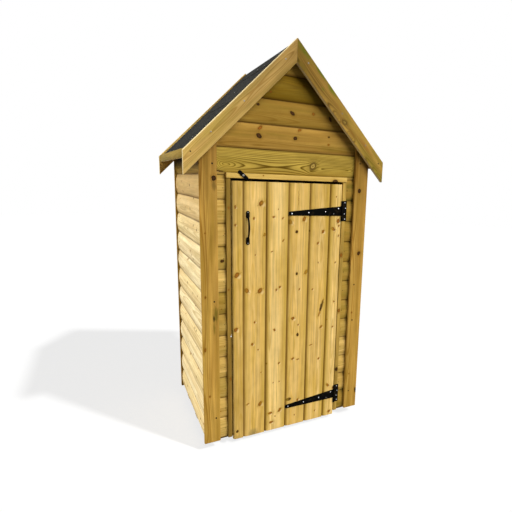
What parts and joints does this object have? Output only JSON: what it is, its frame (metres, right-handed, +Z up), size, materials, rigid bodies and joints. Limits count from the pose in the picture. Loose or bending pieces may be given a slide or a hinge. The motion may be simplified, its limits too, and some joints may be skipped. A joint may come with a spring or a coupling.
{
  "type": "garden tool shed",
  "caption": "Small timber garden tool shed with loglap walls, a steep felted pitched roof and a hinged boarded door held by a turn button.",
  "frame": {"origin": "on the ground under the middle of the roof's plan", "axes": "+X to the right seen from in front of the door, +Y from the door towards the back wall, +Z up"},
  "size_m": [1.046, 0.798, 2.015],
  "materials": {
    "loglap_pine": "pressure treated pine, planed log-lap face",
    "trim_pine": "pressure treated pine, planed",
    "sawn_pine": "sawn pine",
    "door_pine": "pressure treated pine, planed V-jointed boards with knots",
    "mineral_felt": "green-grey mineral bitumen felt",
    "black_iron": "black epoxy powder coat",
    "zinc_screw": "zinc plated"
  },
  "bodies": {
    "shed": {"bearer_front": "sawn_pine", "bearer_middle": "sawn_pine", "bearer_back": "sawn_pine", "floor_deck": "sawn_pine", "wall_left": "loglap_pine", "wall_right": "loglap_pine", "wall_back": "loglap_pine", "wall_front_left": "loglap_pine", "wall_front_right": "loglap_pine", "gable_front": "loglap_pine", "corner_trim_front_left": "trim_pine", "corner_trim_front_right": "trim_pine", "corner_trim_back_left": "trim_pine", "corner_trim_back_right": "trim_pine", "post_front_left": "sawn_pine", "post_front_right": "sawn_pine", "post_back_left": "sawn_pine", "post_back_right": "sawn_pine", "wall_plate_left": "sawn_pine", "wall_plate_right": "sawn_pine", "head_rail": "sawn_pine", "ridge_beam": "sawn_pine", "jamb_left": "trim_pine", "jamb_right": "trim_pine", "head_batten": "trim_pine", "roof_deck_left": "sawn_pine", "roof_deck_right": "sawn_pine", "roof_felt_left": "mineral_felt", "roof_felt_right": "mineral_felt", "bargeboard_front_left": "trim_pine", "bargeboard_front_right": "trim_pine", "bargeboard_back_left": "trim_pine", "bargeboard_back_right": "trim_pine", "eaves_fascia_left": "trim_pine", "eaves_fascia_right": "trim_pine", "hinge_plate_upper": "black_iron", "hinge_plate_lower": "black_iron", "button_screw": "zinc_screw"},
    "door": {"door_boards": "door_pine", "door_ledge_top": "sawn_pine", "door_ledge_middle": "sawn_pine", "door_ledge_bottom": "sawn_pine", "door_braces": "sawn_pine", "hinge_strap_upper": "black_iron", "hinge_strap_lower": "black_iron", "door_handle": "black_iron"},
    "turn_button": {"turn_button": "black_iron"}
  },
  "joints": [
    {"name": "door_hinge", "type": "hinge", "parent": "shed", "child": "door", "pos_m": [0.2965, -0.3655, 1], "axis": [0, 0, 1], "range_deg": [0, 165]},
    {"name": "button_pivot", "type": "hinge", "parent": "shed", "child": "turn_button", "pos_m": [-0.249, -0.3683, 1.388], "axis": [0, -1, 0], "range_deg": [-50, 40]}
  ]
}
